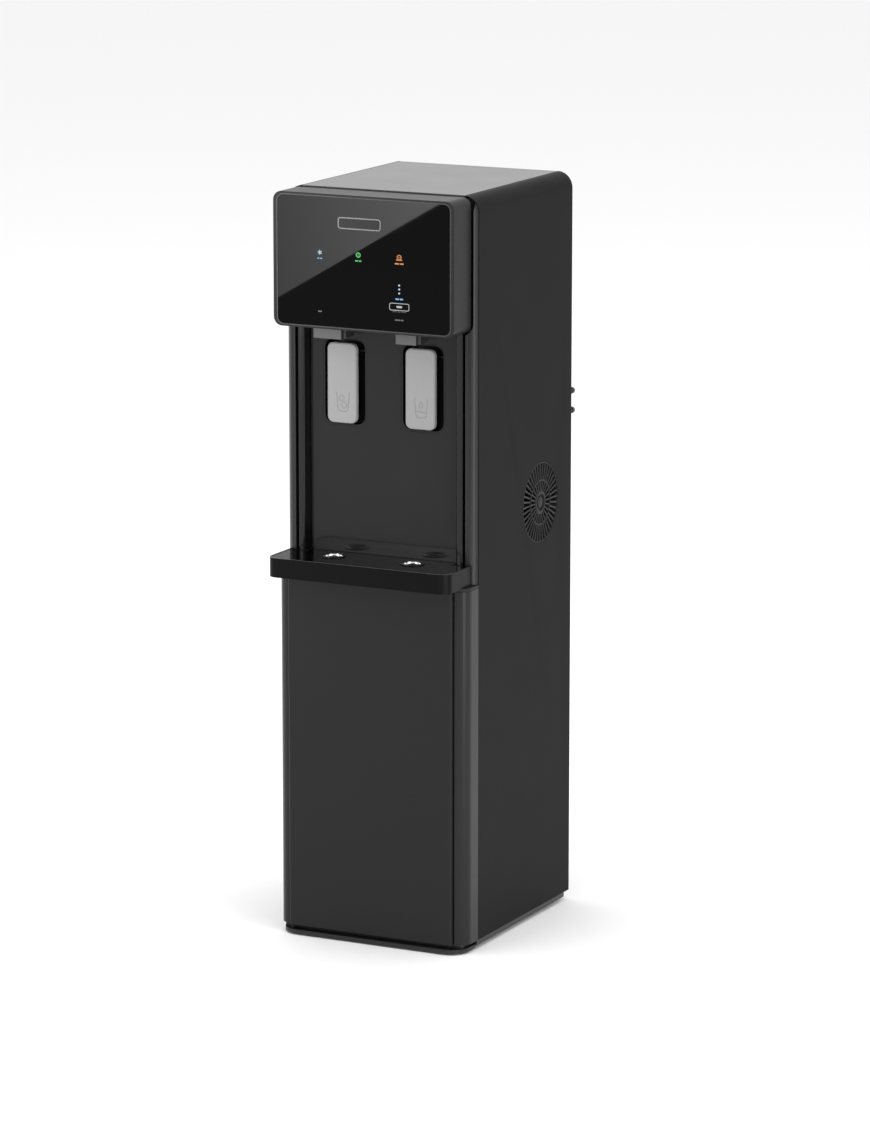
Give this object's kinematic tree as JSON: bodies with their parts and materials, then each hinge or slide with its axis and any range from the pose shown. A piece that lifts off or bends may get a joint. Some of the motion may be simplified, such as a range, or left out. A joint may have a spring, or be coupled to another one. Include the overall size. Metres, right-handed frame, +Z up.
{
  "type": "water dispenser",
  "caption": "Floor-standing tower water dispenser with a dark glass display head, a tall cup niche with push levers, a drip tray, a lower door and a side fan grille.",
  "frame": {"origin": "on the floor, under the centre of the overall box", "axes": "+Z up; the dispensing side faces -Y; +X is to the right seen from the front"},
  "size_m": [0.31, 0.424, 1.1145],
  "materials": {
    "cabinet_steel": "satin dark graphite sheet",
    "top_sheet": "satin dark graphite sheet",
    "rear_steel": "satin dark graphite sheet",
    "frame_black": "satin black moulding",
    "niche_gloss": "high gloss dark panel",
    "trim_gloss": "gloss black moulding",
    "door_satin": "satin dark graphite",
    "head_satin": "satin dark graphite",
    "display_glass": "polished black glass face",
    "badge_metal": "plain bright plate with no mark",
    "lever_grey": "fine satin light grey",
    "pocket_black": "matt black",
    "spout_grey": "satin grey",
    "tray_black": "satin black",
    "tray_gloss": "gloss black cover",
    "drain_chrome": "bright rim",
    "base_black": "matt black",
    "foot_rubber": "plain rubber",
    "inner_steel": "grey coated sheet",
    "board_green": "circuit board",
    "filter_white": "white moulding",
    "compressor_black": "black enamel",
    "foam_white": "insulating foam",
    "tank_steel": "brushed",
    "fan_black": "matt black",
    "case_white": "moulded case",
    "fitting_black": "matt black"
  },
  "bodies": {
    "cabinet": {"base_plinth": "base_black", "foot_front_left": "foot_rubber", "foot_front_right": "foot_rubber", "foot_rear_left": "foot_rubber", "foot_rear_right": "foot_rubber", "side_panel_left": "cabinet_steel", "side_panel_right": "cabinet_steel", "niche_trim_left": "trim_gloss", "niche_trim_right": "trim_gloss", "column_left": "door_satin", "column_right": "door_satin", "lever_pocket_left": "pocket_black", "lever_pocket_right": "pocket_black", "lever_switch_left": "fitting_black", "lever_switch_right": "fitting_black", "spout_left": "spout_grey", "spout_right": "spout_grey", "nozzle_body_left": "pocket_black", "nozzle_body_right": "pocket_black", "fan_grille": "cabinet_steel", "rear_panel": "rear_steel", "rear_header": "rear_steel", "front_frame": "frame_black", "chassis_front": "base_black", "niche_back_panel": "niche_gloss", "head_shell": "head_satin", "glass_panel": "display_glass", "badge_plate": "badge_metal", "display_board": "board_green", "head_back_plate": "base_black", "head_neck": "base_black", "tray_shelf": "base_black", "door_catch": "fitting_black", "mid_shelf": "inner_steel", "filter_manifold": "filter_white", "compressor": "compressor_black", "condenser_coil": "compressor_black", "cold_tank": "foam_white", "hot_tank": "tank_steel", "fan_ring": "fan_black", "power_case": "case_white", "water_inlet": "fitting_black", "water_outlet": "fitting_black", "power_inlet": "fitting_black", "rocker_frame": "fitting_black"},
    "lever_left": {"lever_left": "lever_grey"},
    "lever_right": {"lever_right": "lever_grey"},
    "door": {"lower_door": "door_satin"},
    "tray": {"drip_tray": "tray_black"},
    "tray_lid": {"tray_cover": "tray_gloss", "drain_ring_left": "drain_chrome", "drain_ring_right": "drain_chrome"},
    "top_lid": {"top_cover": "top_sheet"},
    "filter_one": {"filter_1": "filter_white"},
    "filter_two": {"filter_2": "filter_white"},
    "filter_three": {"filter_3": "filter_white"},
    "fan": {"fan_rotor": "fan_black"},
    "rocker_one": {"rocker_1": "fitting_black"},
    "rocker_two": {"rocker_2": "fitting_black"},
    "drain_plug": {"hot_drain_plug": "fitting_black"}
  },
  "joints": [
    {"name": "lever_left_push", "type": "hinge", "parent": "cabinet", "child": "lever_left", "pos_m": [-0.06375, -0.11, 0.876], "axis": [1, 0, 0], "range_deg": [0, 6], "stiffness_Nm_per_rad": 1.5, "springref_deg": -5.73},
    {"name": "lever_right_push", "type": "hinge", "parent": "cabinet", "child": "lever_right", "pos_m": [0.06375, -0.11, 0.876], "axis": [1, 0, 0], "range_deg": [0, 6], "stiffness_Nm_per_rad": 1.5, "springref_deg": -5.73},
    {"name": "door_swing", "type": "hinge", "parent": "cabinet", "child": "door", "pos_m": [-0.1304, -0.1678, 0.2785], "axis": [0, 0, -1], "range_deg": [0, 105]},
    {"name": "tray_pull", "type": "slide", "parent": "cabinet", "child": "tray", "axis": [0, -1, 0], "range_m": [0, 0.1]},
    {"name": "tray_lid_lift", "type": "slide", "parent": "tray", "child": "tray_lid", "axis": [0, 0, 1], "range_m": [0, 0.03]},
    {"name": "top_lid_lift", "type": "slide", "parent": "cabinet", "child": "top_lid", "axis": [0, 0, 1], "range_m": [0, 0.04]},
    {"name": "filter_one_drop", "type": "slide", "parent": "cabinet", "child": "filter_one", "axis": [0, 0, -1], "range_m": [0, 0.018]},
    {"name": "filter_two_drop", "type": "slide", "parent": "cabinet", "child": "filter_two", "axis": [0, 0, -1], "range_m": [0, 0.018]},
    {"name": "filter_three_drop", "type": "slide", "parent": "cabinet", "child": "filter_three", "axis": [0, 0, -1], "range_m": [0, 0.018]},
    {"name": "fan_spin", "type": "hinge", "parent": "cabinet", "child": "fan", "pos_m": [0.1345, 0.0848, 0.634], "axis": [1, 0, 0], "continuous": true},
    {"name": "rocker_one_tilt", "type": "hinge", "parent": "cabinet", "child": "rocker_one", "pos_m": [-0.098, 0.185, 1.032], "axis": [1, 0, 0], "range_deg": [-10, 10]},
    {"name": "rocker_two_tilt", "type": "hinge", "parent": "cabinet", "child": "rocker_two", "pos_m": [-0.076, 0.185, 1.032], "axis": [1, 0, 0], "range_deg": [-10, 10]},
    {"name": "drain_plug_out", "type": "slide", "parent": "cabinet", "child": "drain_plug", "axis": [0, 1, 0], "range_m": [0, 0.03]}
  ]
}
